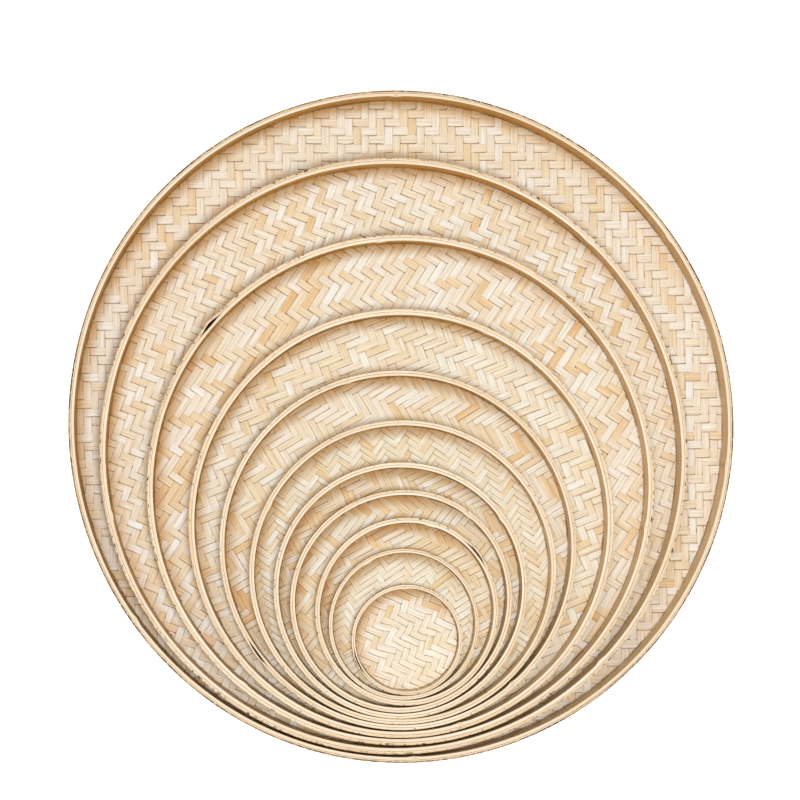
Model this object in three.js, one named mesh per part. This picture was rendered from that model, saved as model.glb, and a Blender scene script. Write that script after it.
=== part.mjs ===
// A nested set of eleven round bamboo trays, each one standing inside the next larger one.
//
// Every tray is made of three pieces, as the real one is: a woven mat pressed into a shallow
// dish, and two bamboo strips bent into hoops that clamp the mat's turned-up edge between them.
// Each strip is lapped over its own start with tapered ends, and the inner one keeps the swollen
// joints of the bamboo cane. The mat reaches a little below the hoops, so a tray stands on it.
//
// Millimetres, +Z up. The origin is the middle of the largest tray's underside.

import * as THREE from 'three';

// The largest tray, across its outer hoop
const LARGEST_DIAMETER = 800;

// Sizes that run evenly from the largest tray to the smallest
const TRAY_HEIGHT = { largest: 45.6, smallest: 23 };
const MAT_THICKNESS = { largest: 1.9, smallest: 1.2 };

// The crease where the mat turns up, measured on its inside
const CREASE_RADIUS = 0.9;

// The inner hoop starts this far above the mat's floor and the outer one this far above the tray's
// underside. The mat's cut edge stays this far below the tops of both.
const INNER_HOOP_LIFT = 0.7;
const OUTER_HOOP_LIFT = 0.3;
const MAT_EDGE_DEPTH = 0.6;

// What is left between pieces that touch
const SEAT_GAP = 0.3;

// Tapered lap of a hoop over its own start, and the thickness left at its two tips
const LAP_LENGTH = { largest: 130, smallest: 50 };
const LAP_TIP = 0.35;

// A swollen joint of the cane on the inner hoop
const KNOT_RISE = 1.1;
const KNOT_HALF_WIDTH = 7;

// Roundness: how far a flat facet may stay inside the true circle, and steps in the mat's crease
const FACET_SAG = 0.72;
const CREASE_STEPS = 2;

// What each tray has of its own. Angles are degrees from +X, turning towards +Y.
// fitRatio is the tray's width as a share of the space inside the larger tray. leanAngle is the
// way that it has slid in there, and rimGap is what is left between the two rims. hoopThickness is
// that of both hoops. Hand-bent hoops are not quite round: the radius grows by ovalBy towards
// ovalAngle and its far side, and by bulgeBy towards bulgeAngle and two more sides a third of a
// turn apart, and shrinks as much in between.
const TRAY_1 = {
  hoopThickness: 2.2, ovalBy: 2.4, ovalAngle: 108, bulgeBy: 0.9, bulgeAngle: 11,
  innerLapAngle: 172, outerLapAngle: 300, knotAngles: [35, 91, 216, 272, 353],
};
const TRAY_2 = {
  fitRatio: 0.901, leanAngle: 256, rimGap: 2.4,
  hoopThickness: 2.5, ovalBy: 2.8, ovalAngle: 107, bulgeBy: 0.3, bulgeAngle: 25,
  innerLapAngle: 75, outerLapAngle: 205, knotAngles: [48, 192, 315],
};
const TRAY_3 = {
  fitRatio: 0.878, leanAngle: 281.5, rimGap: 2.8,
  hoopThickness: 2.5, ovalBy: 1, ovalAngle: 62, bulgeBy: 0.6, bulgeAngle: 33,
  innerLapAngle: 45, outerLapAngle: 150, knotAngles: [95, 231, 351],
};
const TRAY_4 = {
  fitRatio: 0.859, leanAngle: 270, rimGap: 1.5,
  hoopThickness: 2.4, ovalBy: 0.9, ovalAngle: 90, bulgeBy: 0, bulgeAngle: 0,
  innerLapAngle: 15, outerLapAngle: 186, knotAngles: [66, 286],
};
const TRAY_5 = {
  fitRatio: 0.863, leanAngle: 264, rimGap: 1.8,
  hoopThickness: 1.9, ovalBy: 1.1, ovalAngle: 120, bulgeBy: 1.2, bulgeAngle: 40,
  innerLapAngle: 215, outerLapAngle: 205, knotAngles: [107, 310],
};
const TRAY_6 = {
  fitRatio: 0.878, leanAngle: 280, rimGap: 0.5,
  hoopThickness: 1.9, ovalBy: 1.3, ovalAngle: 12, bulgeBy: 0.3, bulgeAngle: 14,
  innerLapAngle: 305, outerLapAngle: 150, knotAngles: [154],
};
const TRAY_7 = {
  fitRatio: 0.863, leanAngle: 262.5, rimGap: 0.3,
  hoopThickness: 2, ovalBy: 0.7, ovalAngle: 79, bulgeBy: 0.6, bulgeAngle: 29,
  innerLapAngle: 170, outerLapAngle: 300, knotAngles: [35],
};
const TRAY_8 = {
  fitRatio: 0.908, leanAngle: 275, rimGap: 1.1,
  hoopThickness: 1.9, ovalBy: 1.3, ovalAngle: 46, bulgeBy: 0.5, bulgeAngle: 45,
  innerLapAngle: 330, outerLapAngle: 180, knotAngles: [52],
};
const TRAY_9 = {
  fitRatio: 0.875, leanAngle: 297, rimGap: 0.3,
  hoopThickness: 2, ovalBy: 1.2, ovalAngle: 80, bulgeBy: 0, bulgeAngle: 0,
  innerLapAngle: 130, outerLapAngle: 20, knotAngles: [75],
};
const TRAY_10 = {
  fitRatio: 0.857, leanAngle: 257.5, rimGap: 0.3,
  hoopThickness: 1.3, ovalBy: 0.2, ovalAngle: 64, bulgeBy: 0, bulgeAngle: 0,
  innerLapAngle: 15, outerLapAngle: 150, knotAngles: [120],
};
const TRAY_11 = {
  fitRatio: 0.775, leanAngle: 281.5, rimGap: 0.3,
  hoopThickness: 1.2, ovalBy: 0.3, ovalAngle: 5, bulgeBy: 0, bulgeAngle: 0,
  innerLapAngle: 300, outerLapAngle: 190, knotAngles: [93],
};
const TRAYS = [
  TRAY_1, TRAY_2, TRAY_3, TRAY_4, TRAY_5, TRAY_6, TRAY_7, TRAY_8, TRAY_9, TRAY_10, TRAY_11,
];

const hoopBamboo = new THREE.MeshStandardMaterial({ color: 0xe9cfa0, roughness: 0.5, metalness: 0 });
const wovenBamboo = new THREE.MeshStandardMaterial({ color: 0xf1dcbc, roughness: 0.6, metalness: 0 });

const radians = (degrees) => (degrees * Math.PI) / 180;

// A size that runs evenly from the largest tray to the smallest
function graded(size, index) {
  const share = index / (TRAYS.length - 1);
  return size.largest + (size.smallest - size.largest) * share;
}

// Facets of a ring, a multiple of four so that it reaches its full radius along X and along Y
function facetsOf(radius) {
  const widest = 2 * Math.acos(1 - FACET_SAG / radius);
  return 4 * Math.ceil(Math.PI / 2 / widest);
}

// All sizes of one tray, worked out from its outside to its inside
function traySizes(index, outerRadius) {
  const tray = TRAYS[index];
  const mat = graded(MAT_THICKNESS, index);
  const outerHoopInside = outerRadius - tray.hoopThickness;
  const matOutside = outerHoopInside - SEAT_GAP;
  const matInside = matOutside - mat;
  const innerHoopOutside = matInside - SEAT_GAP;
  return {
    ...tray,
    mat,
    outerRadius,
    outerHoopInside,
    matOutside,
    matInside,
    floorRadius: matInside - CREASE_RADIUS,
    innerHoopOutside,
    innerRadius: innerHoopOutside - tray.hoopThickness,
    innerHoopBottom: mat + INNER_HOOP_LIFT,
    rimTop: graded(TRAY_HEIGHT, index),
    lapLength: graded(LAP_LENGTH, index),
    facets: facetsOf(outerRadius),
  };
}

// A point of a true ring, moved out or in to where the hand-bent tray has it
function outOfRound(point, sizes) {
  const angle = Math.atan2(point.y, point.x);
  const oval = sizes.ovalBy * Math.cos(2 * (angle - radians(sizes.ovalAngle)));
  const bulge = sizes.bulgeBy * Math.cos(3 * (angle - radians(sizes.bulgeAngle)));
  const stretch = 1 + (oval + bulge) / sizes.outerRadius;
  return new THREE.Vector2(point.x * stretch, point.y * stretch);
}

// The corners of a ring's facets
function ringCorners(radius, sizes) {
  return Array.from({ length: sizes.facets }, (_, i) => {
    const angle = (2 * Math.PI * i) / sizes.facets;
    return outOfRound({ x: radius * Math.cos(angle), y: radius * Math.sin(angle) }, sizes);
  });
}

// How far a tray slides inside the larger one, until only rimGap is left between their facets
function slideIn(larger, tray) {
  const lean = new THREE.Vector2(Math.cos(radians(tray.leanAngle)), Math.sin(radians(tray.leanAngle)));
  const wall = ringCorners(larger.innerRadius, larger);
  const rim = ringCorners(tray.outerRadius, tray);
  let distance = Infinity;
  wall.forEach((corner, i) => {
    const next = wall[(i + 1) % wall.length];
    const outwards = new THREE.Vector2(next.y - corner.y, corner.x - next.x).normalize();
    const slope = outwards.dot(lean);
    if (slope <= 0) return;
    const space = outwards.dot(corner) - Math.max(...rim.map((point) => outwards.dot(point)));
    distance = Math.min(distance, (space - tray.rimGap) / slope);
  });
  return lean.multiplyScalar(distance);
}

// Plan of a strip bent into a hoop. It goes once round and then laps over its own start: the
// start thins away on the outside, and the end thins away on the inside, a seat gap apart.
function hoopPlan(inner, outer, sizes, lapAngle, knotAngles) {
  const { facets } = sizes;
  const step = (2 * Math.PI) / facets;
  const start = Math.round(radians(lapAngle) / step) * step;
  const lapFacets = Math.max(1, Math.round(sizes.lapLength / (outer * step)));
  const tipGap = SEAT_GAP / inner;
  const taper = outer - inner - 2 * LAP_TIP - SEAT_GAP;
  const at = (radius, angle) => new THREE.Vector2(radius * Math.cos(angle), radius * Math.sin(angle));

  const knotHalfAngle = KNOT_HALF_WIDTH / inner;
  const knots = knotAngles.map((angle) => {
    const turn = (radians(angle) - start) / (2 * Math.PI);
    return start + (turn - Math.floor(turn)) * 2 * Math.PI;
  });
  const onKnot = (angle) => knots.some((knot) => Math.abs(angle - knot) < knotHalfAngle);
  const onFacet = (angle) => {
    const middle = (Math.floor(angle / step) + 0.5) * step;
    return (inner * Math.cos(step / 2)) / Math.cos(angle - middle);
  };

  const innerFace = [{ angle: start, radius: inner }];
  for (let i = 1; i < facets; i += 1) {
    const angle = start + i * step;
    if (!onKnot(angle)) innerFace.push({ angle, radius: inner });
  }
  for (const knot of knots) {
    innerFace.push({ angle: knot - knotHalfAngle, radius: onFacet(knot - knotHalfAngle) });
    innerFace.push({ angle: knot, radius: inner - KNOT_RISE });
    innerFace.push({ angle: knot + knotHalfAngle, radius: onFacet(knot + knotHalfAngle) });
  }
  innerFace.sort((a, b) => a.angle - b.angle);

  const points = innerFace.map(({ angle, radius }) => at(radius, angle));
  const turned = start + 2 * Math.PI;
  points.push(at(inner, turned - tipGap));
  points.push(at(inner + LAP_TIP + SEAT_GAP, turned - tipGap));
  for (let i = 1; i < lapFacets; i += 1) {
    points.push(at(inner + LAP_TIP + SEAT_GAP + (taper * i) / lapFacets, turned + i * step));
  }
  points.push(at(outer - LAP_TIP, turned + lapFacets * step - tipGap));
  points.push(at(outer, turned + lapFacets * step - tipGap));
  for (let i = facets + lapFacets - 1; i >= lapFacets; i -= 1) {
    points.push(at(outer, start + i * step));
  }
  for (let i = lapFacets; i >= 0; i -= 1) {
    points.push(at(inner + LAP_TIP + (taper * i) / lapFacets, start + i * step));
  }
  return new THREE.Shape(points);
}

function bentHoop(inner, outer, bottom, sizes, lapAngle, knotAngles) {
  const plan = hoopPlan(inner, outer, sizes, lapAngle, knotAngles);
  const geometry = new THREE.ExtrudeGeometry(plan, { depth: sizes.rimTop - bottom, bevelEnabled: false });
  geometry.translate(0, 0, bottom);
  return geometry;
}

// The woven mat as one plain sheet: a flat floor, a rounded crease and an upright edge
function pressedMat(sizes) {
  const edgeTop = sizes.rimTop - MAT_EDGE_DEPTH;
  const creaseCentre = new THREE.Vector2(sizes.floorRadius, sizes.mat + CREASE_RADIUS);
  const creasePoint = (radius, step) => {
    const angle = -Math.PI / 2 + (Math.PI / 2) * (step / CREASE_STEPS);
    const outwards = new THREE.Vector2(Math.cos(angle), Math.sin(angle));
    return outwards.multiplyScalar(radius).add(creaseCentre);
  };

  const profile = [new THREE.Vector2(0, 0)];
  for (let i = 0; i <= CREASE_STEPS; i += 1) profile.push(creasePoint(CREASE_RADIUS + sizes.mat, i));
  profile.push(new THREE.Vector2(sizes.matOutside, edgeTop));
  profile.push(new THREE.Vector2(sizes.matInside, edgeTop));
  for (let i = CREASE_STEPS; i >= 0; i -= 1) profile.push(creasePoint(CREASE_RADIUS, i));
  profile.push(new THREE.Vector2(0, sizes.mat));

  const geometry = new THREE.LatheGeometry(profile, sizes.facets, Math.PI / 2);
  geometry.rotateX(Math.PI / 2);
  return geometry;
}

// A tray's three pieces, with its own underside at z = 0
function makeTray(index, sizes) {
  const tray = new THREE.Group();
  const number = String(index + 1).padStart(2, '0');
  const addPiece = (name, geometry, material) => {
    const corners = geometry.attributes.position;
    for (let i = 0; i < corners.count; i += 1) {
      const { x, y } = outOfRound({ x: corners.getX(i), y: corners.getY(i) }, sizes);
      corners.setXY(i, x, y);
    }
    const piece = new THREE.Mesh(geometry, material);
    piece.name = `tray_${number}_${name}`;
    tray.add(piece);
  };

  const { outerRadius, outerHoopInside, outerLapAngle } = sizes;
  const { innerRadius, innerHoopOutside, innerHoopBottom, innerLapAngle, knotAngles } = sizes;
  const outerHoop = bentHoop(outerHoopInside, outerRadius, OUTER_HOOP_LIFT, sizes, outerLapAngle, []);
  const innerHoop = bentHoop(
    innerRadius, innerHoopOutside, innerHoopBottom, sizes, innerLapAngle, knotAngles,
  );
  addPiece('outer_hoop', outerHoop, hoopBamboo);
  addPiece('inner_hoop', innerHoop, hoopBamboo);
  addPiece('woven_mat', pressedMat(sizes), wovenBamboo);
  return tray;
}

// The largest tray is placed by the middle of its outline. Each other tray stands on the floor of
// the next larger one and is carried by it.
const traySet = new THREE.Group();
let carrier = traySet;
let larger = null;
TRAYS.forEach((tray, index) => {
  const outerRadius = larger ? larger.innerRadius * tray.fitRatio : LARGEST_DIAMETER / 2;
  const sizes = traySizes(index, outerRadius);
  const pieces = makeTray(index, sizes);
  if (larger) {
    const { x, y } = slideIn(larger, sizes);
    pieces.position.set(x, y, larger.mat + SEAT_GAP);
  } else {
    const outline = new THREE.Box2().setFromPoints(ringCorners(outerRadius, sizes));
    const { x, y } = outline.getCenter(new THREE.Vector2());
    pieces.position.set(-x, -y, 0);
  }
  carrier.add(pieces);
  carrier = pieces;
  larger = sizes;
});

export default traySet;
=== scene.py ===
"""Looks of a nested set of eleven round bamboo trays.

Every tray gets its mat woven from single flat strips, its two hoops bent from split bamboo
strips with lapped ends and cane joints, and the small nails that hold them together.
Metres, +Z up. Where a tray stands, and how large and how round it is, comes from the frame.
"""

import math
from collections import namedtuple

import bpy
import numpy as np
from mathutils import Matrix, Vector


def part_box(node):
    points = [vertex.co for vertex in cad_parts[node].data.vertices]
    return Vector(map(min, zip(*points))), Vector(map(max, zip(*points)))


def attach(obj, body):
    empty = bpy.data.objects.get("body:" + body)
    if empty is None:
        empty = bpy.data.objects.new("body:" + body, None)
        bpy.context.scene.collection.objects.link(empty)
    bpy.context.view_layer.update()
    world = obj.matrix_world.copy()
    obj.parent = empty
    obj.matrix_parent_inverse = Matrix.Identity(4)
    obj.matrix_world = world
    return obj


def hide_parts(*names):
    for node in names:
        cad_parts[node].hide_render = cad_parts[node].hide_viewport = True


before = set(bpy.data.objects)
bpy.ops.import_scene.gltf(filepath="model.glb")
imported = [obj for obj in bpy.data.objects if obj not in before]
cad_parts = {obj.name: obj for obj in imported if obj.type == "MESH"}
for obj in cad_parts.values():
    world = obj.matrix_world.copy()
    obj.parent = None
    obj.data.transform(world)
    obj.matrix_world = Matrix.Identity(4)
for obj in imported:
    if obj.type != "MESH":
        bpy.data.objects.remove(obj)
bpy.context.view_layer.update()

MM = 0.001
TURN = 2 * math.pi

# Places nearer to each other than this are one place
NEAR = 0.01 * MM

# What is left between a mat's edge and the hoops that grip it
GRIP_GAP = 0.05 * MM

# How many waves make up a tray's outline. The first one is its mean radius.
OUTLINE_WAVES = 5

# What the random errors of the mats, the hoops and the nails start from
MAT_SEED = 40
HOOP_SEED = 90
NAIL_SEED = 7

# The weave of one mat. turn is the angle of its lying strips in degrees from +X, standing and
# lying are the distances between neighbouring strips, and each lying strip goes over some
# standing strips and then under some. step is the way that the pattern moves from row to row.
Weave = namedtuple("Weave", "turn standing lying over under step")

# The tones of one mat, from 0 for peach to 1 for white, of its standing and its lying strips, how
# far single strips differ from them, and how yellow all of them are. Where the two sets differ,
# that is partly the strips' own colour and partly painted sheen, as strips whose fibres run one
# way catch more light.
Tones = namedtuple("Tones", "standing lying spread yellow")

# The hoops of one tray: where they are lapped, where the inner one has cane joints, and where
# the outer one stands off the mat, in degrees from +X, turning towards +Y. frayed is how ragged
# and brown the outer one's top edge is, from 0 to 1.
Hoops = namedtuple("Hoops", "inner_lap outer_lap joints stand_off frayed")

# The trays, from the largest to the smallest
TRAYS = [
    (
        Weave(1, 9.5 * MM, 10.4 * MM, 2, 2, -1), Tones(0.64, 0.76, 0.14, 0.1),
        Hoops(172, 300, (35, 91, 216, 272, 353), None, 1),
    ),
    (
        Weave(-21, 9.3 * MM, 9.1 * MM, 2, 2, 1), Tones(0.66, 0.66, 0.17, 0.1),
        Hoops(75, 205, (48, 192, 315), None, 0.4),
    ),
    (
        Weave(-33.5, 9.3 * MM, 9.3 * MM, 2, 3, 1), Tones(0.76, 0.52, 0.20, 0.15),
        Hoops(45, 150, (95, 231, 351), 139.5, 0.3),
    ),
    (
        Weave(21, 9.6 * MM, 8.8 * MM, 3, 2, -1), Tones(0.72, 0.72, 0.18, 0.4),
        Hoops(15, 186, (66, 286), None, 0.15),
    ),
    (
        Weave(31, 7.8 * MM, 7.7 * MM, 4, 4, -1), Tones(0.56, 0.72, 0.18, 0.3),
        Hoops(215, 205, (107, 310), 216, 0.15),
    ),
    (
        Weave(-35, 6.8 * MM, 6.8 * MM, 3, 3, -1), Tones(0.70, 0.70, 0.18, 0.6),
        Hoops(305, 150, (154,), None, 0.1),
    ),
    (
        Weave(25, 6.5 * MM, 7.0 * MM, 4, 4, -1), Tones(0.46, 0.66, 0.20, 0.4),
        Hoops(170, 300, (35,), None, 0.1),
    ),
    (
        Weave(51, 7.7 * MM, 8.1 * MM, 4, 4, -1), Tones(0.50, 0.75, 0.20, 0.5),
        Hoops(330, 180, (52,), None, 0.1),
    ),
    (
        Weave(27, 7.5 * MM, 8.2 * MM, 4, 2, -1), Tones(0.40, 0.62, 0.20, 0.5),
        Hoops(130, 20, (75,), 40, 0.1),
    ),
    (
        Weave(35, 7.0 * MM, 7.0 * MM, 4, 2, 1), Tones(0.72, 0.84, 0.12, 0.6),
        Hoops(15, 150, (120,), None, 0.1),
    ),
    (
        Weave(-22, 7.5 * MM, 7.6 * MM, 3, 2, 1), Tones(0.72, 0.76, 0.12, 0.2),
        Hoops(300, 190, (93,), 203, 0.1),
    ),
]

# Woven strips. Cover and wander are a strip's width and the error of its place, as shares of the
# distance between neighbours. The dive share is half a dive's length, as a share of the distance
# between the strips that it crosses. The thickness is a share of the mat's, and the clearance is
# how many thicknesses lie between the middles of two crossing strips. At a mat's edge, no strip
# is laid that would be narrower than the least width. No set has as many strips as numbers.
STRIP_COVER = 0.98
STRIP_WANDER = 0.05
DIVE_SHARE = 0.17
STRIP_THICKNESS = 0.47
STRIP_CLEARANCE = 1.04
LEAST_WIDTH = 0.4 * MM
NUMBERS_PER_SET = 500

# How many sections a strip has round the dish's bend, and where its end is trimmed round
BEND_SECTIONS = 5
TRIM_SECTIONS = 4

# The corners of a strip's section, by their side across the strip and through it
CORNERS_ACROSS = (-1, 1, 1, -1)
CORNERS_THROUGH = (1, 1, -1, -1)

# A mat's edge. It sags where the outer hoop stands off, and browning fades out over the rim depth.
EDGE_BELOW_SOLID = 0.9 * MM
EDGE_RAGGED = 0.35 * MM
EDGE_SAG = 10 * MM
RIM_DEPTH = 3 * MM

# The wavy lines of a hand-woven sheet. A wave's length is a share of the floor's radius, and the
# ripples on it are a share of its height, and that many times as close.
PULL = 1.6 * MM
PULL_WAVE = 0.9
RIPPLE = 0.4
RIPPLE_COUNT = 2.3

# Single peach strips, and how much the edges of each set's strips are browned and painted
# shaded, the lying strips' most, as their lower edges fall in shade
PEACH_SHARE = 0.04
PEACH_TONES = (0.18, 0.42)
LYING_WEAR_AND_SHADE = 1.0
STANDING_WEAR_AND_SHADE = 0.4

# Hoop strips: the length of a column of faces, how far the grain of one tray's hoops is moved
# from the next one's, the laps, and the lip where the tops of two hoops lean together over the
# mat's edge. The lip's reach is a share of the mat's thickness.
COLUMN_LENGTH = 5 * MM
EDGE_ROUNDING = 0.2 * MM
GRAIN_SHIFT = 0.3
LAP_LARGEST = 130 * MM
LAP_SMALLEST = 50 * MM
LAP_TIP = 0.35 * MM
LIP_DEPTH = 1.5 * MM
LIP_REACH = 0.46

# Cane joints, with a scar that is narrower than the swelling
JOINT_RISE = 1.5 * MM
JOINT_LENGTH = 4.5 * MM
SCAR_NARROWING = 6

# How far and along what length an outer hoop stands off the mat, the uneven tops of hoops, and
# their frayed edges. A very frayed hoop has shorter columns.
STAND_OFF = 2.2 * MM
STAND_OFF_LENGTH = 12 * MM
TOP_UNEVEN = 0.35 * MM
UNEVEN_LENGTH = 30 * MM
VERY_FRAYED = 0.5
FRAYED_COLUMN = 2 * MM
FRAYED_LOSS = 0.9 * MM

# The side of every tray that the key lamp roughly shines from. On this side the floor beside the
# hoop gets the most painted golden shade, and the hoops' inner faces keep their golden colour that
# stands for shade. On the other side the hoops get painted light and turn paler.
LAMP_SIDE = Vector((-0.64, 0.77, 0))

# Nails. The tip is filed thin and bent over, and the head is smaller on its outer face. Places
# round the tray are off by a share of the distance between nails, and tips turn by radians. The
# end faces are those whose normal points along the nail by more than the end facing.
NAIL_RADIUS = 0.6 * MM
NAIL_SIDES = 8
NAIL_SHOULDER = 0.05 * MM
NAIL_HEAD_RADIUS = 1.5 * MM
NAIL_HEAD_MOVE = Vector((0.3 * MM, 0, 0))
NAIL_HEAD_FACE = 0.6
NAIL_TIP_MOVE = Vector((-0.7 * MM, 0, -1.1 * MM))
NAIL_TIP_START = 0.8
NAIL_TIP_END = 0.15
NAIL_SPACING = 46 * MM
NAIL_HEIGHT_SHARE = 0.3
NAIL_PLACE_ERROR = 0.15
NAIL_TURN_ERROR = 0.6
NAIL_HEIGHT_ERROR = 1 * MM
END_FACING = 0.9

# Edges flatter than these, in degrees, are shaded smooth
MAT_SMOOTHING = 20
HOOP_SMOOTHING = 35
NAIL_SMOOTHING = 30

# Camera
AIM = Vector((-3.4 * MM, 31 * MM, 44 * MM))
CAMERA_OFFSET = Vector((-0.165, -0.07, 3.4))
FIELD_WIDTH = 0.955
SENSOR_WIDTH = 36

# Lights and floor
Lamp = namedtuple("Lamp", "name place size power colour")
LAMPS = (
    Lamp("key", Vector((-0.4, 1.0, 2.9)), 0.9, 22, (0.76, 0.88, 1.0)),
    Lamp("fill", Vector((0.08, -0.35, 3.0)), 0.8, 55, (0.84, 0.93, 0.98)),
)
ROOM_LIGHT = (1.0, 0.76, 0.44, 1)
ROOM_STRENGTH = 0.46
FLOOR_SIZE = 60
FLOOR_TONES = (0.93, 0.95)
FLOOR_GLOW = (0.90, 0.94, 1.0, 1)
FLOOR_GLOW_STRENGTH = 0.75

# Fibres in a metre, along and across a strip, how much of their shade comes from the bundles,
# and how far the fibres of one strip are moved from the next one's
BUNDLES = (6.0, 680.0)
THREADS = (20.0, 1500.0)
STREAKS = (45.0, 1100.0)
TEARS = (230.0, 500.0)
BUNDLE_SHARE = 0.62
STRIP_SHIFT = 0.37

# Colours of the woven strips. A tint is multiplied with the colour under it.
STRIP_TONES = (
    (0.0, (0.81, 0.52, 0.25)),
    (0.2, (0.84, 0.63, 0.39)),
    (0.45, (0.87, 0.74, 0.565)),
    (0.7, (0.89, 0.81, 0.725)),
    (1.0, (0.91, 0.90, 0.90)),
)
TONE_DRIFT = 0.16
TONE_WAVES = 12.0
YELLOW_TINT = (0.98, 1.0, 0.90, 1)
FIBRE_TINT = (0.87, 0.78, 0.65, 1)
# Browning and painted shadow along the strips' edges
BROWN_AND_SHADE_TINT = (0.42, 0.26, 0.12, 1)
# Painted golden shade on the floor beside the hoop
FLOOR_SHADE_TINT = (0.64, 0.40, 0.12, 1)
BROWN_STREAK = (0.55, 0.34, 0.15, 1)
# Painted shade specks in the corners where a strip dives
CORNER_SHADE = (0.12, 0.06, 0.025, 1)
# Painted shade along the hoop's foot
FOOT_SHADE = (0.18, 0.09, 0.03, 1)
FRAYED_FIBRE = (0.16, 0.09, 0.04, 1)

# How near the hoop the floor's painted golden shade starts and is strongest, and where the
# darker painted shade along the hoop's foot starts and is strongest
FLOOR_SHADE_FROM = 16 * MM
MOST_FLOOR_SHADE = 1 * MM
FOOT_SHADE_FROM = 1.4 * MM
MOST_FOOT_SHADE = 0.7 * MM

# Colours of the hoops, of the dark and the light fibres in each of their faces and split edges.
# The golden inner face is darkened as painted shade, and the pale face is painted light, laid on
# the faces on the side of a tray away from the lamp side.
SHADED_GOLDEN_FACE = ((0.54, 0.26, 0.03, 1), (0.72, 0.41, 0.07, 1))
NATURAL_FACE = ((0.54, 0.36, 0.14, 1), (0.68, 0.51, 0.25, 1))
LIT_PALE_FACE = ((0.88, 0.65, 0.38, 1), (0.95, 0.79, 0.53, 1))
INNER_SPLIT_EDGE = ((0.84, 0.68, 0.50, 1), (0.91, 0.79, 0.66, 1))
OUTER_SPLIT_EDGE = ((0.84, 0.62, 0.41, 1), (0.93, 0.77, 0.60, 1))
# How much of the painted light the outer hoops get
OUTER_LIT_SHARE = 0.35
JOINT_SCAR = (0.36, 0.20, 0.07, 1)
EDGE_FLECK = (0.30, 0.18, 0.08, 1)
EDGE_STAIN = (0.46, 0.27, 0.11, 1)
EDGE_TEAR = (0.10, 0.05, 0.02, 1)

# Colours of the nails
STEEL = (0.16, 0.14, 0.12, 1)
RUST = (0.20, 0.09, 0.04, 1)


def graded(largest, smallest, index):
    """A size that runs evenly from the largest tray to the smallest."""
    return largest + (smallest - largest) * index / (len(TRAYS) - 1)


# Mesh helpers


def vertex_places(mesh):
    places = np.empty(len(mesh.vertices) * 3, np.float32)
    mesh.vertices.foreach_get("co", places)
    return places.reshape(-1, 3).astype(float)


def set_vertex_places(mesh, places):
    mesh.vertices.foreach_set("co", places.astype(np.float32).ravel())
    mesh.update()


def store(mesh, name, kind, values):
    """Keeps a value of every vertex for the materials."""
    layer = mesh.attributes.new(name, kind, "POINT")
    part = "vector" if kind == "FLOAT_VECTOR" else "value"
    layer.data.foreach_set(part, values.astype(np.float32).ravel())


def apply_modifier(piece, kind, **settings):
    modifier = piece.modifiers.new(kind.lower(), kind)
    for name, value in settings.items():
        setattr(modifier, name, value)
    bpy.context.view_layer.objects.active = piece
    bpy.ops.object.modifier_apply(modifier=modifier.name)


def finish_piece(piece, tray, material, slot, smooth_angle, *nodes):
    """Gives a piece its material and makes it move with its tray."""
    piece.data.materials.clear()
    piece.data.materials.append(material)
    bpy.ops.object.select_all(action="DESELECT")
    piece.select_set(True)
    bpy.context.view_layer.objects.active = piece
    bpy.ops.object.shade_smooth_by_angle(angle=math.radians(smooth_angle))
    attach(piece, tray.name)
    if nodes:
        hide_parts(*nodes)


# What the solids say of a tray


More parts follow.
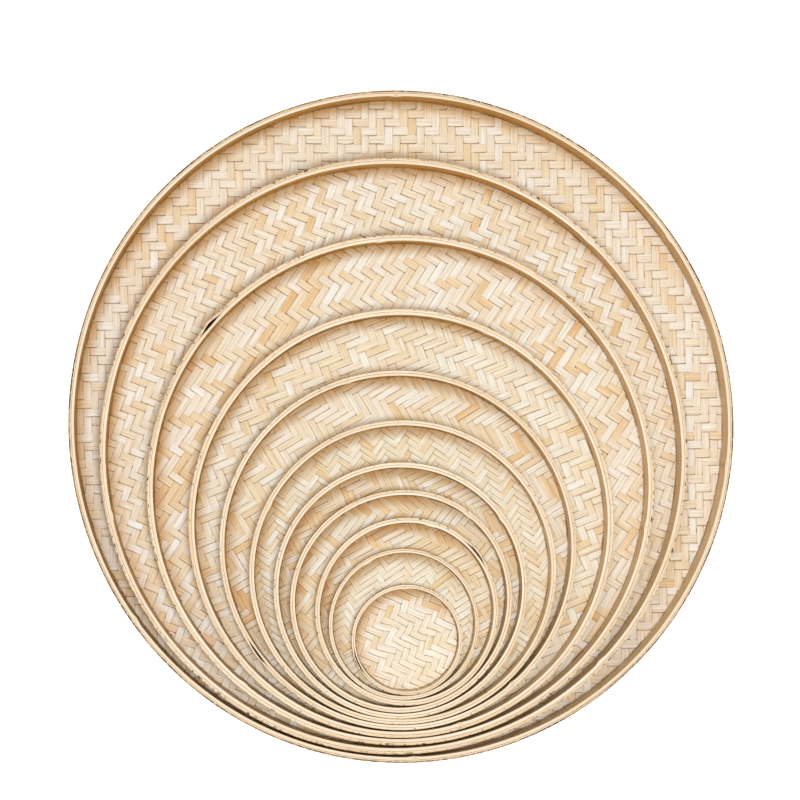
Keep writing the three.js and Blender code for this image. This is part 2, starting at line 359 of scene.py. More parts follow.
class Tray:
    """Where one tray stands and how large and how round it is, read from its solids."""

    def __init__(self, index, stand_off_angle):
        self.index = index
        self.name = f"tray_{index + 1:02d}"
        self.stand_off_angle = stand_off_angle
        self.read_mat()
        self.read_hoops()

    def read_mat(self):
        """Heights, place and outline of the mat, the last two from the ring of its top edge."""
        corners = vertex_places(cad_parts[self.name + "_woven_mat"].data)
        self.base = corners[:, 2].min()
        self.mat_top = corners[:, 2].max()
        ring = corners[corners[:, 2] > self.mat_top - NEAR, :2]
        ring = np.unique(np.round(ring, 6), axis=0)
        facets = len(ring) // 2
        self.centre = ring.mean(axis=0)

        out = ring - self.centre
        place = np.round(np.arctan2(out[:, 1], out[:, 0]) / TURN * facets).astype(int) % facets
        radii = np.hypot(out[:, 0], out[:, 1])
        outside = np.zeros(facets)
        inside = np.full(facets, np.inf)
        np.maximum.at(outside, place, radii)
        np.minimum.at(inside, place, radii)
        self.waves = np.fft.rfft(outside)[:OUTLINE_WAVES] / facets

        # A flat facet lies within the circle through its corners, in the mean by two thirds of
        # what it does at its middle
        corner_radius = self.waves[0].real
        mean_depth = 2 / 3 * corner_radius * (1 - math.cos(math.pi / facets))
        self.mat_outside = corner_radius - mean_depth
        self.mat_inside = inside.mean() - mean_depth
        self.mat = self.mat_outside - self.mat_inside

    def read_hoops(self):
        """Thickness, radii and heights of the hoops, and the dish that the mat is pressed into."""
        outer_low, outer_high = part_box(self.name + "_outer_hoop")
        inner_low, inner_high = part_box(self.name + "_inner_hoop")
        mat_low, mat_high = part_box(self.name + "_woven_mat")
        beyond_mat = (outer_high.x - outer_low.x) / 2 - (mat_high.x - mat_low.x) / 2
        self.hoop = beyond_mat - GRIP_GAP
        self.inner_radius = self.mat_inside - GRIP_GAP - self.hoop
        self.outer_radius = self.mat_outside + GRIP_GAP + self.hoop
        self.outer_bottom = outer_low.z
        self.inner_bottom = inner_low.z
        self.rim_top = inner_high.z

        # The mat bends up beside the floor, as far as the inner hoop's lower edge is high. Its flat
        # sheet is measured along the middle of its thickness.
        bend = self.inner_bottom - self.base - self.mat
        self.floor_radius = self.mat_inside - bend
        self.sheet_bend = bend + self.mat / 2
        self.bend_length = self.sheet_bend * math.pi / 2
        wall = self.mat_top - self.base - self.mat / 2 - self.sheet_bend
        self.sheet_radius = self.floor_radius + self.bend_length + wall

    def stretch(self, angle):
        """How far the hand-bent outline is from a true circle at these angles, as a factor."""
        factor = np.ones_like(angle)
        for count, wave in enumerate(self.waves[1:], start=1):
            factor += 2 * (wave * np.exp(1j * count * angle)).real / self.waves[0].real
        return factor

    def stand_off(self, angle):
        """How near these angles are to the place where the outer hoop stands off, 0 to 1."""
        if self.stand_off_angle is None:
            return np.zeros_like(angle)
        away = (angle - math.radians(self.stand_off_angle) + math.pi) % TURN - math.pi
        return np.exp(-(away * self.mat_outside / STAND_OFF_LENGTH) ** 2)

    def around(self, angle, radius, height):
        """Points at these angles, at a radius of the true circle and at a height."""
        far = radius * self.stretch(angle)
        return np.stack([
            self.centre[0] + far * np.cos(angle),
            self.centre[1] + far * np.sin(angle),
            np.broadcast_to(height, angle.shape),
        ], axis=-1)


# Node helpers


def connect(tree, value, socket):
    """Links a socket to another one, or sets it to a number, vector or colour."""
    if isinstance(value, bpy.types.NodeSocket):
        tree.links.new(value, socket)
    else:
        socket.default_value = value


def add(tree, kind, settings=(), **values):
    """A node with its settings and inputs. An input is named by its label, with _ for a space, or
    by _ and its number."""
    node = tree.nodes.new("ShaderNode" + kind)
    for name, value in dict(settings).items():
        setattr(node, name, value)
    for name, value in values.items():
        key = int(name[1:]) if name[0] == "_" else name.replace("_", " ")
        connect(tree, value, node.inputs[key])
    return node


def attribute(tree, name, output="Vector"):
    """A value that the mesh keeps for every vertex."""
    return add(tree, "Attribute", {"attribute_name": name}).outputs[output]


def separate(tree, vector):
    return add(tree, "SeparateXYZ", Vector=vector).outputs


def combine(tree, x, y, z=0.0):
    return add(tree, "CombineXYZ", X=x, Y=y, Z=z).outputs[0]


def math_node(tree, operation, a, b=0.0, clamp=False):
    return add(tree, "Math", {"operation": operation, "use_clamp": clamp}, _0=a, _1=b).outputs[0]


def times(tree, product, *factors):
    """Masks and numbers multiplied with each other."""
    for factor in factors:
        product = math_node(tree, "MULTIPLY", product, factor)
    return product


def strongest(tree, mask, *others):
    """The largest of some masks."""
    for other in others:
        mask = math_node(tree, "MAXIMUM", mask, other)
    return mask


def vector_node(tree, operation, a, b=(0.0, 0.0, 0.0)):
    return add(tree, "VectorMath", {"operation": operation}, _0=a, _1=b)


def scaled(tree, vector, x, y, z):
    return vector_node(tree, "MULTIPLY", vector, (x, y, z)).outputs[0]


def towards_lamp_side(tree, direction):
    """How much a direction points to the lamp side of the trays, from -1 to 1, which places the
    painted light and shade.
    """
    return vector_node(tree, "DOT_PRODUCT", direction, LAMP_SIDE).outputs["Value"]


def noise(tree, vector, scale, detail=2.0, roughness=0.5):
    values = {"Vector": vector, "Scale": scale, "Detail": detail, "Roughness": roughness}
    return add(tree, "TexNoise", **values).outputs[0]


def stretched_noise(tree, vector, along, across, detail, roughness=0.5):
    """Noise that is drawn out along the first axis of a vector."""
    return noise(tree, scaled(tree, vector, along, across, across), 1.0, detail, roughness)


def remap(tree, value, low, high, to_low=0.0, to_high=1.0):
    return add(tree, "MapRange", _0=value, _1=low, _2=high, _3=to_low, _4=to_high).outputs[0]


def mix(tree, share, a, b, blend="MIX"):
    settings = {"data_type": "RGBA", "blend_type": blend}
    return add(tree, "Mix", settings, _0=share, _6=a, _7=b).outputs[2]


def tinted(tree, colour, tint):
    return mix(tree, 1.0, colour, tint, "MULTIPLY")


def shade_ramp(tree, value, stops):
    node = add(tree, "ValToRGB", Fac=value)
    ramp = node.color_ramp
    while len(ramp.elements) < len(stops):
        ramp.elements.new(0.5)
    for element, (place, colour) in zip(ramp.elements, stops):
        element.position = place
        element.color = (*colour, 1)
    return node.outputs[0]


def new_group(name, inputs, outputs):
    """An empty shader node group with value, vector or colour sockets."""
    group = bpy.data.node_groups.new(name, "ShaderNodeTree")
    for label, kind in inputs:
        group.interface.new_socket(label, in_out="INPUT", socket_type="NodeSocket" + kind)
    for label, kind in outputs:
        group.interface.new_socket(label, in_out="OUTPUT", socket_type="NodeSocket" + kind)
    return group, group.nodes.new("NodeGroupInput"), group.nodes.new("NodeGroupOutput")


def place_group(tree, group, **values):
    """The outputs of a node group that is placed in a material."""
    return add(tree, "Group", {"node_tree": group}, **values).outputs


def new_material(name):
    material = bpy.data.materials.new(name)
    material.use_nodes = True
    tree = material.node_tree
    return material, tree, tree.nodes["Principled BSDF"]


# Bamboo fibres


def fibre_group():
    """Fibres along a split strip. The grain vector runs along it, across it and through it. Puts
    out their light and dark, 0 to 1, and a mask of the few dark ones."""
    group, given, result = new_group(
        "bamboo_fibres",
        [("Grain", "Vector"), ("Strip", "Float")],
        [("Shade", "Float"), ("Streak", "Float")],
    )
    shift = times(group, given.outputs["Strip"], STRIP_SHIFT)
    place = vector_node(group, "ADD", given.outputs["Grain"], combine(group, shift, shift)).outputs[0]
    bundles = times(group, stretched_noise(group, place, *BUNDLES, 1.0), BUNDLE_SHARE)
    threads = stretched_noise(group, place, *THREADS, 2.0, 0.6)
    threads = times(group, threads, 1 - BUNDLE_SHARE)
    both = math_node(group, "ADD", bundles, threads)
    streaks = stretched_noise(group, place, *STREAKS, 1.0)
    connect(group, remap(group, both, 0.40, 0.60), result.inputs["Shade"])
    connect(group, remap(group, streaks, 0.66, 0.74), result.inputs["Streak"])
    return group


def fibrous_surface(tree, surface, colour, shade, roughness, relief, depth, specular):
    """Gives a surface its colour, and the sheen and relief of its fibres. The two values of the
    roughness are those of dark and of light fibres."""
    bump = add(tree, "Bump", Strength=relief, Distance=depth, Height=shade)
    connect(tree, colour, surface.inputs["Base Color"])
    connect(tree, remap(tree, shade, 0.0, 1.0, *roughness), surface.inputs["Roughness"])
    connect(tree, bump.outputs[0], surface.inputs["Normal"])
    surface.inputs["Specular IOR Level"].default_value = specular


# The finish of the woven mats


def strip_colour(tree, along, strip, threads):
    """Each strip's own tone, from peach over cream to white, with darker fibres and a few brown
    streaks. Gives the mask of the mat's rim too."""
    pale, yellow, rim = separate(tree, attribute(tree, "tone"))
    slowly = combine(tree, times(tree, along, TONE_WAVES), strip)
    drift = remap(tree, noise(tree, slowly, 1.0, 1.0), 0.3, 0.7, -TONE_DRIFT, TONE_DRIFT)
    colour = shade_ramp(tree, math_node(tree, "ADD", pale, drift, clamp=True), STRIP_TONES)
    colour = mix(tree, yellow, colour, tinted(tree, colour, YELLOW_TINT))
    colour = mix(tree, threads["Shade"], tinted(tree, colour, FIBRE_TINT), colour)
    colour = mix(tree, times(tree, threads["Streak"], 0.35), colour, BROWN_STREAK)
    return colour, rim


def browned_and_shaded_edges(tree, colour, grain, below_rim):
    """Edges browned partly by wear and partly as painted shadow, strongest on the side away from
    the light, painted shade where a strip dives and on the strips' sides in the gaps between
    them, and nearly black specks of painted shade in the corners where a strip dives."""
    across, up, through = separate(tree, attribute(tree, "weave"))
    wear = attribute(tree, "wear", "Fac")
    patches = noise(tree, scaled(tree, grain, 60.0, 60.0, 1.0), 1.0, 1.0)
    strength = times(tree, remap(tree, patches, 0.35, 0.55, 0.25, 1.4), wear)
    shadow_edge = times(tree, remap(tree, across, -0.78, -0.9), strength)
    light_edge = remap(tree, across, 0.9, 1.0, 0.0, 0.1)
    # Painted shade where a strip dives, and on its sides in the gaps
    diving_shade = times(tree, remap(tree, up, 0.6, -0.3, 0.0, 0.4), strength)
    gap_shade = remap(tree, math_node(tree, "ABSOLUTE", through), 0.98, 0.9)
    browned_and_shaded = times(tree, strongest(tree, shadow_edge, light_edge, diving_shade, gap_shade), below_rim)
    colour = mix(tree, browned_and_shaded, colour, tinted(tree, colour, BROWN_AND_SHADE_TINT))
    # Painted shade specks in the corners where a strip dives
    corner = times(tree, remap(tree, across, -0.5, -0.85), remap(tree, up, 0.95, 0.4))
    shade_speck = times(tree, corner, remap(tree, patches, 0.46, 0.55), wear)
    return mix(tree, shade_speck, colour, CORNER_SHADE)


def painted_shade_by_hoop(tree, colour, below_rim):
    """Painted golden shade beside the hoop, most of all on the lamp side, with a darker, patchy
    line of painted shade along the hoop's foot."""
    sheet_x, sheet_y, hoop_radius = separate(tree, attribute(tree, "sheet"))
    place = combine(tree, sheet_x, sheet_y)
    reach = vector_node(tree, "LENGTH", place).outputs["Value"]
    from_hoop = math_node(tree, "SUBTRACT", hoop_radius, reach)
    # Painted golden shade beside the hoop, strongest on the lamp side
    beside = times(tree, remap(tree, from_hoop, FLOOR_SHADE_FROM, MOST_FLOOR_SHADE), below_rim)
    outwards = vector_node(tree, "NORMALIZE", place).outputs[0]
    side_share = remap(tree, towards_lamp_side(tree, outwards), -0.2, 0.7, 0.14, 0.95)
    shaded_colour = tinted(tree, colour, FLOOR_SHADE_TINT)
    colour = mix(tree, times(tree, beside, side_share), colour, shaded_colour)
    # Painted shade along the hoop's foot, patchy along it
    foot_patches = remap(tree, noise(tree, place, 25.0, 2.0), 0.3, 0.6, 0.3, 0.9)
    foot = times(tree, remap(tree, from_hoop, FOOT_SHADE_FROM, MOST_FOOT_SHADE), foot_patches, below_rim)
    return mix(tree, foot, colour, FOOT_SHADE)


def frayed_rim(tree, colour, grain, rim):
    """Dark fibres that show here and there along the mat's edge."""
    fibres = remap(tree, noise(tree, grain, 600.0, 1.0), 0.52, 0.62)
    showing = remap(tree, noise(tree, grain, 22.0, 2.0), 0.6, 0.72, 0.0, 0.35)
    return mix(tree, times(tree, showing, rim, fibres), colour, FRAYED_FIBRE)


def woven_bamboo(fibres):
    """Flat split strips, each with its own tone and fine fibres, edges browned partly by wear and
    partly as painted shadow, and painted shade in the gaps between them. The floor gets painted
    golden shade beside the hoop."""
    material, tree, surface = new_material("woven_bamboo")
    grain = attribute(tree, "grain")
    along, aside, strip = separate(tree, grain)
    threads = place_group(tree, fibres, Grain=combine(tree, along, aside), Strip=strip)
    colour, rim = strip_colour(tree, along, strip, threads)
    below_rim = math_node(tree, "SUBTRACT", 1.0, rim)
    colour = browned_and_shaded_edges(tree, colour, grain, below_rim)
    colour = painted_shade_by_hoop(tree, colour, below_rim)
    colour = frayed_rim(tree, colour, grain, rim)
    fibrous_surface(
        tree, surface, colour, threads["Shade"],
        roughness=(0.62, 0.46), relief=0.35, depth=0.1 * MM, specular=0.35,
    )
    return material


# The finish of the hoops


def hoop_face(tree, shade, outer, normal):
    """The wide faces: golden, darkened as painted shade, on the inner hoop and natural on the outer
    one, and paler with painted light on the side of the tray away from the lamp side, most of
    all on the inner hoop."""
    face = mix(tree, outer, mix(tree, shade, *SHADED_GOLDEN_FACE), mix(tree, shade, *NATURAL_FACE))
    inwards = remap(tree, outer, 0.0, 1.0, 1.0, -1.0)
    opposite = times(tree, towards_lamp_side(tree, normal), inwards)
    hoop_share = remap(tree, outer, 0.0, 1.0, 1.0, OUTER_LIT_SHARE)
    # Painted light on the faces on the side of the tray away from the lamp side
    painted_light = times(tree, remap(tree, opposite, -0.5, 0.9), hoop_share)
    return mix(tree, painted_light, face, mix(tree, shade, *LIT_PALE_FACE))


def torn_edge(tree, colour, grain, at_edge, raggedness, outer):
    """A brown stain and nearly black tears along the top edge of the outer hoop."""
    edge_share = times(tree, remap(tree, at_edge, 0.2, 0.4), outer)
    colour = mix(tree, times(tree, edge_share, raggedness, 0.75), colour, EDGE_STAIN)
    tears = stretched_noise(tree, grain, *TEARS, 2.0)
    many = math_node(tree, "ADD", tears, times(tree, raggedness, 0.23))
    stretches = noise(tree, scaled(tree, grain, 14.0, 0.0, 1.0), 1.0, 1.0)
    bad_stretch = remap(tree, stretches, 0.35, 0.6, 0.35, 1.0)
    torn = times(tree, remap(tree, many, 0.64, 0.70), edge_share, bad_stretch)
    return mix(tree, torn, colour, EDGE_TEAR)


def hoop_bamboo(fibres):
    """Split hoop strips: faces golden as painted shade, or paler as painted light on the side of
    the tray away from the lamp side, paler split edges, the inner one's the whitest, a dark scar
    at each cane joint, and brown tears along the outer one's edge."""
    material, tree, surface = new_material("hoop_bamboo")
    grain = attribute(tree, "grain")
    at_edge, raggedness, outer = separate(tree, attribute(tree, "torn"))
    threads = place_group(tree, fibres, Grain=grain, Strip=0.0)
    shade = threads["Shade"]
    normal = add(tree, "NewGeometry").outputs["Normal"]
    level = math_node(tree, "ABSOLUTE", separate(tree, normal)[2])
    on_split_edge = remap(tree, level, 0.35, 0.75)

    inner_edge = mix(tree, shade, *INNER_SPLIT_EDGE)
    split_edge = mix(tree, outer, inner_edge, mix(tree, shade, *OUTER_SPLIT_EDGE))
    colour = mix(tree, on_split_edge, hoop_face(tree, shade, outer, normal), split_edge)
    scar = times(tree, attribute(tree, "joint", "Fac"), 0.55)
    colour = mix(tree, scar, colour, JOINT_SCAR)
    fleck = times(tree, on_split_edge, 0.15, threads["Streak"])
    colour = mix(tree, fleck, colour, EDGE_FLECK)
    colour = torn_edge(tree, colour, grain, at_edge, raggedness, outer)
    fibrous_surface(
        tree, surface, colour, shade,
        roughness=(0.55, 0.40), relief=0.4, depth=0.15 * MM, specular=0.25,
    )
    return material


# The finish of the nails and of the floor under the trays


def nail_steel():
    """Dull, browned wire nails."""
    material, tree, surface = new_material("nail_steel")
    place = add(tree, "TexCoord").outputs["Object"]
    rust = remap(tree, noise(tree, place, 900.0, 3.0), 0.4, 0.65)
    connect(tree, mix(tree, rust, STEEL, RUST), surface.inputs["Base Color"])
    connect(tree, remap(tree, rust, 0.0, 1.0, 0.38, 0.75), surface.inputs["Roughness"])
    surface.inputs["Metallic"].default_value = 0.8
    return material


def pale_floor():
    """A plain, nearly white floor that glows a little, so that it stays pale under the lights."""
    material, tree, surface = new_material("pale_floor")
    place = add(tree, "TexCoord").outputs["Object"]
    tone = remap(tree, noise(tree, place, 3.0, 2.0), 0.3, 0.7, *FLOOR_TONES)
    colour = add(tree, "CombineColor", _0=tone, _1=tone, _2=tone).outputs[0]
    connect(tree, colour, surface.inputs["Base Color"])
    surface.inputs["Emission Color"].default_value = FLOOR_GLOW
    surface.inputs["Emission Strength"].default_value = FLOOR_GLOW_STRENGTH
    surface.inputs["Roughness"].default_value = 0.9
    surface.inputs["Specular IOR Level"].default_value = 0.1
    return material


# The woven mats

# One of a mat's two sets of parallel strips. places are where its strips lie, pitch is how far
# apart they are meant to be, crossing is where the strips of the other set lie, and over tells
# which of those each strip goes over. turn is the way that they run, in radians from +X, number
# is that of the first one, white is their tone, and the last is how browned and painted shaded
# their edges are.
StripSet = namedtuple("StripSet", "places pitch crossing over turn number white wear")


def dive(along, borders, sides, reach):
    """Height of a strip between its under (-1) and over (+1) side, at places along it. sides has one
    more entry than borders, the places where it may change from one side to the other."""
    height = np.full(along.shape, float(sides[0]))
    for border, before, after in zip(borders, sides[:-1], sides[1:]):
        if before != after:
            share = np.clip((along - border + reach) / (2 * reach), 0, 1)
            height += (after - before) * share * share * (3 - 2 * share)
    return height


def trimmed_end(low, high, edge):
    """Places along a strip between its two sides, low and high, where the round edge of the sheet
    trims it, the farthest first. There are none where the edge leaves too little of it."""
    nearest = 0 if low < 0 < high else min(abs(low), abs(high))
    farthest = min(max(abs(low), abs(high)), edge)
    if nearest > edge - LEAST_WIDTH:
        return np.empty(0)
    return np.sqrt(edge ** 2 - np.linspace(nearest + LEAST_WIDTH, farthest, TRIM_SECTIONS) ** 2)


class Mat:
    """The mat of one tray, woven flat, strip by strip, and pressed into the tray's dish."""

    def __init__(self, tray, weave, tones):
        self.tray = tray
        self.tones = tones
        self.random = np.random.default_rng(MAT_SEED + tray.index)
        self.pull_phase = self.random.uniform(0, TURN, 4)
        self.points = []
        self.faces = []
        self.values = {"grain": [], "weave": [], "tone": [], "sheet": [], "wear": []}
        self.count = 0

        standing = self.strip_places(weave.standing)
        lying = self.strip_places(weave.lying)
        column, row = np.meshgrid(np.arange(len(standing)), np.arange(len(lying)))
        lying_over = (column - weave.step * row) % (weave.over + weave.under) < weave.over
        turn = math.radians(weave.turn)
        number = 2 * NUMBERS_PER_SET * tray.index
        self.lay_set(StripSet(
            lying, weave.lying, standing, lying_over, turn, number, tones.lying, LYING_WEAR_AND_SHADE,
        ))
        self.lay_set(StripSet(
            -standing, weave.standing, lying, ~lying_over.T, turn + TURN / 4,
            number + NUMBERS_PER_SET, tones.standing, STANDING_WEAR_AND_SHADE,
        ))

    def strip_places(self, pitch):
        """Where the strips of one set lie, with the small errors of hand weaving."""
        count = int(self.tray.sheet_radius / pitch) + 1
        places = (np.arange(-count, count + 1) + self.random.uniform(-0.5, 0.5)) * pitch
        return places + self.random.uniform(-STRIP_WANDER, STRIP_WANDER, len(places)) * pitch

    def lay_set(self, strips):
        """Lays the strips of one set over and under those that they cross."""
        borders = (strips.crossing[:-1] + strips.crossing[1:]) / 2
        reach = DIVE_SHARE * np.diff(strips.crossing).mean()
        half_width = strips.pitch * STRIP_COVER / 2
        for number, (place, over) in enumerate(zip(strips.places, strips.over), strips.number):
            edge = self.tray.sheet_radius - EDGE_BELOW_SOLID - self.random.uniform(0, EDGE_RAGGED)
            low = place - half_width
            high = place + half_width
            trimmed = trimmed_end(low, high, edge)
            if len(trimmed) == 0:
                continue
            sides = np.where(over, 1, -1)
            changes = borders[sides[1:] != sides[:-1]]
            along = self.section_places(place, changes, reach, trimmed)
            chord = np.sqrt(np.maximum(edge ** 2 - along ** 2, 0))
            left = np.maximum(low, -chord)
            right = np.minimum(high, chord)
            raised = dive(along, borders, sides, reach)
            self.add_strip(strips, number, place, along, left, right, raised)

    def section_places(self, place, changes, reach, trimmed):
        """Where a strip needs a section: at the ends of each dive and half way between dives, round
        the dish's bend, and where its ends are trimmed."""
        tray = self.tray
        places = [changes - reach, changes + reach, (changes[:-1] + changes[1:]) / 2]
        bend_end = tray.floor_radius + tray.bend_length
        for circle in np.linspace(tray.floor_radius, bend_end, BEND_SECTIONS):
            if circle > abs(place):
                crossing = math.sqrt(circle ** 2 - place ** 2)
                places.append(np.array([-crossing, crossing]))
        places += [-trimmed, trimmed]
        along = np.unique(np.concatenate(places))
        along = along[np.abs(along) <= trimmed[0]]
        return along[np.concatenate([[True], np.diff(along) > NEAR])]

    def single_tone(self, white):
        """The tone of a single strip, which is now and then a peach one."""
        tone = np.clip(self.random.normal(white, self.tones.spread), 0, 1)
        if self.random.random() < PEACH_SHARE:
            tone = self.random.uniform(*PEACH_TONES)
        return tone

    def add_strip(self, strips, number, place, along, left, right, raised):
        """Adds a strip with four corners to a section, and all that its material reads."""
        corners = (len(along), len(CORNERS_ACROSS))
        across = np.broadcast_to(CORNERS_ACROSS, corners)
        through = np.broadcast_to(CORNERS_THROUGH, corners)
        along = np.broadcast_to(along[:, None], corners)
        raised = np.broadcast_to(raised[:, None], corners)
        aside = np.where(across < 0, left[:, None], right[:, None])
        cos, sin = math.cos(strips.turn), math.sin(strips.turn)
        flat = np.stack([cos * along - sin * aside, sin * along + cos * aside], axis=-1)
        thickness = STRIP_THICKNESS * self.tray.mat
        lift = (raised * STRIP_CLEARANCE + through) * thickness / 2
        points = self.press(self.pulled(flat), lift)
        rim = np.clip(1 - (self.tray.mat_top - points[..., 2]) / RIM_DEPTH, 0, 1)
        values = {
            "grain": (along, aside - place, number),
            "weave": (across, raised, through),
            "tone": (self.single_tone(strips.white), self.tones.yellow, rim),
            "sheet": (flat[..., 0], flat[..., 1], self.tray.inner_radius),
            "wear": (strips.wear,),
        }
        for name, parts in values.items():
            spread = [np.broadcast_to(part, corners).ravel() for part in parts]
            self.values[name].append(np.stack(spread, axis=-1))
        self.points.append(points.reshape(-1, 3))
        self.add_faces(len(along))

    def add_faces(self, sections):
        """The four sides and the two ends of a strip with this many sections."""
        first = self.count
        corner = first + 4 * np.arange(sections - 1)[:, None]
        for a, b in ((0, 1), (1, 2), (2, 3), (3, 0)):
            self.faces.append(np.hstack([corner + a, corner + 4 + a, corner + 4 + b, corner + b]))
        last = first + 4 * (sections - 1)
        self.faces.append(np.array([[first, first + 1, first + 2, first + 3]]))
        self.faces.append(np.array([[last + 3, last + 2, last + 1, last]]))
        self.count = last + 4

    def pulled(self, flat):
        """The slightly wavy lines of a hand-woven sheet, which die out towards its edge."""
        x, y = flat[..., 0], flat[..., 1]
        inner = np.clip(1 - (x * x + y * y) / self.tray.floor_radius ** 2, 0, 1)
        wave = TURN / (PULL_WAVE * self.tray.floor_radius)
        phase = self.pull_phase
        dx = np.sin(wave * y + phase[0]) + RIPPLE * np.sin(RIPPLE_COUNT * wave * y + phase[1])
        dy = np.sin(wave * x + phase[2]) + RIPPLE * np.sin(RIPPLE_COUNT * wave * x + phase[3])
        return flat + PULL * inner[..., None] * np.stack([dx, dy], axis=-1)

    def press(self, flat, lift):
        """Presses points of the flat woven sheet into the tray's dish. lift is how far a point
        stands out of the middle of the sheet, on the side that faces up."""
        tray = self.tray
        bend = tray.sheet_bend
        reach = np.hypot(flat[..., 0], flat[..., 1])
        angle = np.arctan2(flat[..., 1], flat[..., 0])
        tilt = np.clip((reach - tray.floor_radius) / bend, 0, math.pi / 2)
        up_wall = np.maximum(reach - tray.floor_radius - tray.bend_length, 0)
        up_wall *= 1 - EDGE_SAG / (tray.mat_top - tray.base) * tray.stand_off(angle)
        radius = np.minimum(reach, tray.floor_radius) + (bend - lift) * np.sin(tilt)
        height = tray.base + tray.mat / 2 + bend - (bend - lift) * np.cos(tilt) + up_wall
        return tray.around(angle, radius, height)

    def mesh(self, name):
        """The strips laid so far, as one mesh."""
        mesh = bpy.data.meshes.new(name)
        mesh.from_pydata(np.vstack(self.points), [], np.vstack(self.faces))
        for label, values in self.values.items():
            kind = "FLOAT" if label == "wear" else "FLOAT_VECTOR"
            store(mesh, label, kind, np.vstack(values))
        return mesh


def woven_mat(tray, weave, tones, material):
    mesh = Mat(tray, weave, tones).mesh(tray.name + "_weave")
    mat = bpy.data.objects.new(tray.name + "_weave", mesh)
    bpy.context.scene.collection.objects.link(mat)
    finish_piece(mat, tray, material, "woven_bamboo", MAT_SMOOTHING, tray.name + "_woven_mat")


# The hoops

# One hoop. side is inner or outer, radius is that of its inner face, and bottom is the height of
# its lower edge. lap, joints, stand_off and frayed are this hoop's own, as in Hoops.
Hoop = namedtuple("Hoop", "side radius bottom lap joints stand_off frayed")


def straight_strip(name, length, thickness, height, column):
    """A straight split strip along +X. Its inner face is on y = 0 and its lower edge on z = 0."""
    bpy.ops.object.select_all(action="DESELECT")
    bpy.ops.mesh.primitive_grid_add(
        x_subdivisions=round(length / column),
        y_subdivisions=2,
        size=1,
        rotation=(math.pi / 2, 0, 0),
        location=(length / 2, 0, height / 2),
    )
    strip = bpy.context.object
    strip.name = name
    strip.data.name = name
    strip.scale = (length, height, 1)
    bpy.ops.object.transform_apply(location=True, rotation=True, scale=True)
    apply_modifier(strip, "SOLIDIFY", thickness=thickness, offset=-1)
    apply_modifier(strip, "BEVEL", width=EDGE_ROUNDING, segments=2, limit_method="ANGLE")
    return strip


def thinned_ends(along, share, thickness, round_length, lap):
    """How far points are from a strip's inner face, share being the same before its ends are
    thinned, as a share of its thickness. Its start is thinned on the outside, and its end, which
    lies over the start, on the inside, so that the lap is as thick as the rest."""
    start_share = np.clip(along / lap, 0, 1)
    end_share = np.clip((along - round_length) / lap, 0, 1)
    full = thickness - 2 * LAP_TIP - GRIP_GAP
    outer_face = np.where(along < lap, LAP_TIP + full * start_share, thickness)
    inner_face = np.where(along > round_length, LAP_TIP + GRIP_GAP + full * end_share, 0)
    return inner_face + share * (outer_face - inner_face)


def nearness(along, places, length):
    """How near points along a strip are to the nearest of some places on it, 0 to 1."""
    nearest = np.zeros_like(along)
    for place in places:
        nearest = np.maximum(nearest, np.exp(-((along - place) / length) ** 2))
    return nearest


def uneven(along, length, spacing, most, random):
    """Random values up to the most, a spacing apart along a strip, and even between them."""
    knots = np.arange(0, length + spacing, spacing)
    return np.interp(along, knots, random.uniform(0, most, len(knots)))


def bent_hoop(tray, hoop, material):
    """A strip bent round the tray and lapped over its own start."""
    random = np.random.default_rng(HOOP_SEED + 2 * tray.index + (hoop.side == "outer"))
    lap = graded(LAP_LARGEST, LAP_SMALLEST, tray.index)
    round_length = TURN * hoop.radius
    length = round_length + lap
    height = tray.rim_top - hoop.bottom
    column = FRAYED_COLUMN if hoop.frayed > VERY_FRAYED else COLUMN_LENGTH
    strip = straight_strip(f"{tray.name}_{hoop.side}_strip", length, tray.hoop, height, column)
    places = vertex_places(strip.data)
    store(strip.data, "grain", "FLOAT_VECTOR", places + np.array([0, 0, GRAIN_SHIFT * tray.index]))
    along, out, up = places.T
    start = math.radians(hoop.lap)
    angle = start + along / hoop.radius
    share = out / tray.hoop
    out = thinned_ends(along, share, tray.hoop, round_length, lap)

    # The two hoops' tops lean together over the mat's edge, from the middle row of edges upwards,
    # which is moved to where the leaning starts
    up = np.where(np.abs(up - height / 2) < NEAR, height - LIP_DEPTH, up)
    near_top = np.clip(1 - (height - up) / LIP_DEPTH, 0, 1)
    leaning = share if hoop.side == "inner" else share - 1
    out += LIP_REACH * tray.mat * near_top * leaning * (1 - tray.stand_off(angle))

    def place_at(degrees):
        """How far along the strip a place round the tray is."""
        return (math.radians(degrees) - start) % TURN * hoop.radius

    # Swollen cane joints on the inner face
    at_joint = nearness(along, [place_at(joint) for joint in hoop.joints], JOINT_LENGTH)
    out -= JOINT_RISE * at_joint * (1 - share)
    store(strip.data, "joint", "FLOAT", np.where(share < 0.5, at_joint ** SCAR_NARROWING, 0))

    # A ragged outer top edge
    lost = uneven(along, length, FRAYED_COLUMN, 1, random)
    at_edge = np.clip(share * 2 - 1, 0, 1) * near_top
    out -= FRAYED_LOSS * lost * at_edge * hoop.frayed
    raggedness = np.full_like(along, hoop.frayed)
    outer = np.full_like(along, hoop.side == "outer")
    store(strip.data, "torn", "FLOAT_VECTOR", np.stack([at_edge, raggedness, outer], axis=-1))

    # The place where the strip springs away from the mat
    if hoop.stand_off is not None:
        out += STAND_OFF * nearness(along, [place_at(hoop.stand_off)], STAND_OFF_LENGTH)

    # An uneven top, as a strip split by hand has
    up = up * (1 - uneven(along, length, UNEVEN_LENGTH, TOP_UNEVEN, random) / height)

    set_vertex_places(strip.data, tray.around(angle, hoop.radius + out, hoop.bottom + up))
    replaced = f"{tray.name}_{hoop.side}_hoop"
    finish_piece(strip, tray, material, "hoop_bamboo", HOOP_SMOOTHING, replaced)


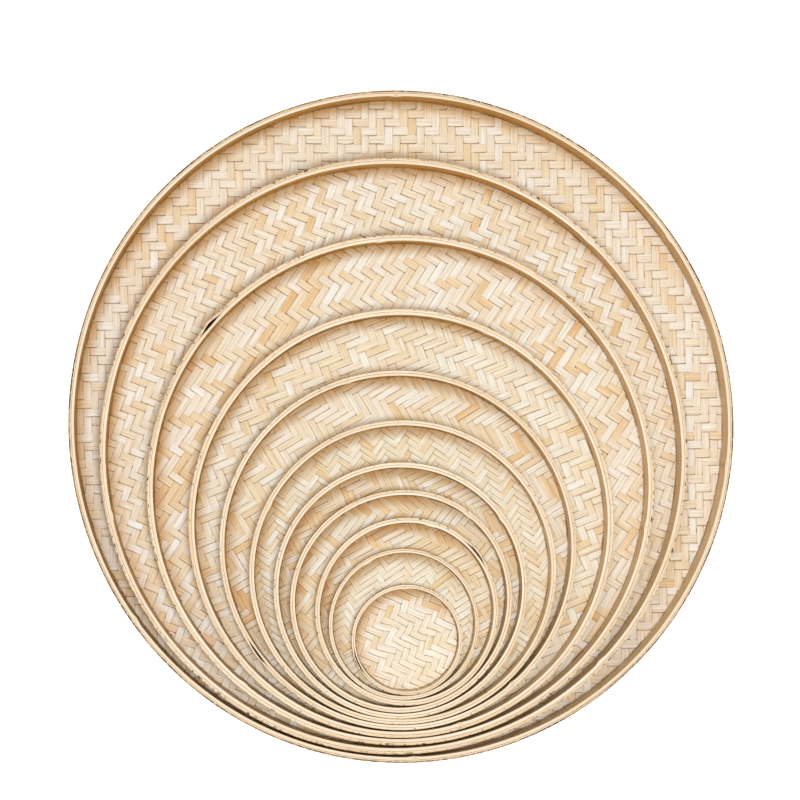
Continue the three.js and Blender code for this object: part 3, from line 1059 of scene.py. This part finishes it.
def hoop_pair(tray, hoops, material):
    """The inner and the outer hoop of a tray."""
    inner = Hoop(
        "inner", tray.inner_radius, tray.inner_bottom,
        hoops.inner_lap, hoops.joints, None, 0,
    )
    outer = Hoop(
        "outer", tray.mat_outside + GRIP_GAP, tray.outer_bottom,
        hoops.outer_lap, (), hoops.stand_off, hoops.frayed,
    )
    bent_hoop(tray, inner, material)
    bent_hoop(tray, outer, material)


# The nails


def extrude_end(end, shoulder, start_share, move, end_share):
    """Extrudes the selected end face of a nail: a short shoulder, then the head or the tip. The
    shares are the widths at the start and at the end of it, each of the width before."""
    bpy.ops.mesh.extrude_region_move(TRANSFORM_OT_translate={"value": shoulder})
    bpy.ops.transform.resize(value=(1, start_share, start_share), center_override=end)
    bpy.ops.mesh.extrude_region_move(TRANSFORM_OT_translate={"value": move})
    bpy.ops.transform.resize(value=(1, end_share, end_share), center_override=end + move)


def wire_nail(length):
    """A nail along +X, its head outside at +X and its filed tip bent over at -X."""
    bpy.ops.object.select_all(action="DESELECT")
    bpy.ops.mesh.primitive_cylinder_add(
        vertices=NAIL_SIDES, radius=NAIL_RADIUS, depth=length, rotation=(0, math.pi / 2, 0),
    )
    nail = bpy.context.object
    bpy.ops.object.transform_apply(location=True, rotation=True, scale=True)
    bpy.ops.object.mode_set(mode="EDIT")
    bpy.ops.mesh.select_mode(type="FACE")
    head = (1, NAIL_HEAD_RADIUS / NAIL_RADIUS, NAIL_HEAD_MOVE, NAIL_HEAD_FACE)
    tip = (-1, NAIL_TIP_START, NAIL_TIP_MOVE, NAIL_TIP_END)
    for side, start_share, move, end_share in (head, tip):
        bpy.ops.mesh.select_all(action="DESELECT")
        bpy.ops.object.mode_set(mode="OBJECT")
        for face in nail.data.polygons:
            face.select = face.normal.x * side > END_FACING
        bpy.ops.object.mode_set(mode="EDIT")
        end = Vector((side * length / 2, 0, 0))
        extrude_end(end, (side * NAIL_SHOULDER, 0, 0), start_share, move, end_share)
    bpy.ops.object.mode_set(mode="OBJECT")
    return nail


def nail_row(tray, material):
    """The nails all round a tray, driven from outside through both hoops and the mat."""
    random = np.random.default_rng(NAIL_SEED + tray.index)
    pattern = wire_nail(tray.outer_radius - tray.inner_radius)
    count = round(TURN * tray.outer_radius / NAIL_SPACING)
    height = tray.inner_bottom + NAIL_HEIGHT_SHARE * (tray.rim_top - tray.inner_bottom)
    off = random.uniform(-NAIL_PLACE_ERROR, NAIL_PLACE_ERROR, count)
    angles = (np.arange(count) + off) * TURN / count
    middle = tray.around(angles, (tray.outer_radius + tray.inner_radius) / 2, height)
    nails = []
    for angle, place in zip(angles, middle):
        nail = pattern.copy()
        nail.data = pattern.data.copy()
        tip_turn = random.uniform(-NAIL_TURN_ERROR, NAIL_TURN_ERROR)
        place[2] += random.uniform(-1, 1) * NAIL_HEIGHT_ERROR
        turned = Matrix.Rotation(angle, 4, "Z") @ Matrix.Rotation(tip_turn, 4, "X")
        nail.data.transform(Matrix.Translation(place) @ turned)
        bpy.context.scene.collection.objects.link(nail)
        nails.append(nail)
    bpy.data.objects.remove(pattern)
    bpy.ops.object.select_all(action="DESELECT")
    for nail in nails:
        nail.select_set(True)
    row = nails[0]
    row.name = tray.name + "_nails"
    bpy.context.view_layer.objects.active = row
    bpy.ops.object.join()
    finish_piece(row, tray, material, "nail_steel", NAIL_SMOOTHING)


# Camera, lights and floor


def look_at(thing, target):
    """Turns a camera or light to a target, with +Y upwards in the picture."""
    back = (thing.location - target).normalized()
    right = Vector((0, 1, 0)).cross(back).normalized()
    up = back.cross(right)
    thing.rotation_euler = Matrix((right, up, back)).transposed().to_euler()


def area_light(lamp):
    """A round lamp that shines at the middle of the largest tray."""
    data = bpy.data.lights.new(lamp.name, "AREA")
    data.shape = "DISK"
    data.size = lamp.size
    data.energy = lamp.power
    data.color = lamp.colour
    light = bpy.data.objects.new(lamp.name, data)
    light.location = lamp.place
    bpy.context.scene.collection.objects.link(light)
    look_at(light, Vector((0, 0, 0)))


def studio(floor_material):
    """The camera nearly straight above the trays, the lamps, a warm room and the floor."""
    scene = bpy.context.scene
    data = bpy.data.cameras.new("camera")
    data.sensor_width = SENSOR_WIDTH
    data.lens = SENSOR_WIDTH * CAMERA_OFFSET.length / FIELD_WIDTH
    camera = bpy.data.objects.new("camera", data)
    camera.location = AIM + CAMERA_OFFSET
    scene.collection.objects.link(camera)
    look_at(camera, AIM)
    scene.camera = camera

    for lamp in LAMPS:
        area_light(lamp)
    world = bpy.data.worlds.new("studio")
    world.use_nodes = True
    background = world.node_tree.nodes["Background"]
    background.inputs[0].default_value = ROOM_LIGHT
    background.inputs[1].default_value = ROOM_STRENGTH
    scene.world = world
    scene.view_settings.view_transform = "Standard"

    bpy.ops.object.select_all(action="DESELECT")
    bpy.ops.mesh.primitive_plane_add(size=FLOOR_SIZE)
    floor = bpy.context.object
    floor.name = "floor"
    floor.data.materials.append(floor_material)


fibres = fibre_group()
strip_finish = woven_bamboo(fibres)
hoop_finish = hoop_bamboo(fibres)
nail_finish = nail_steel()
studio(pale_floor())

for index, (weave, tones, hoops) in enumerate(TRAYS):
    tray = Tray(index, hoops.stand_off)
    woven_mat(tray, weave, tones, strip_finish)
    hoop_pair(tray, hoops, hoop_finish)
    nail_row(tray, nail_finish)
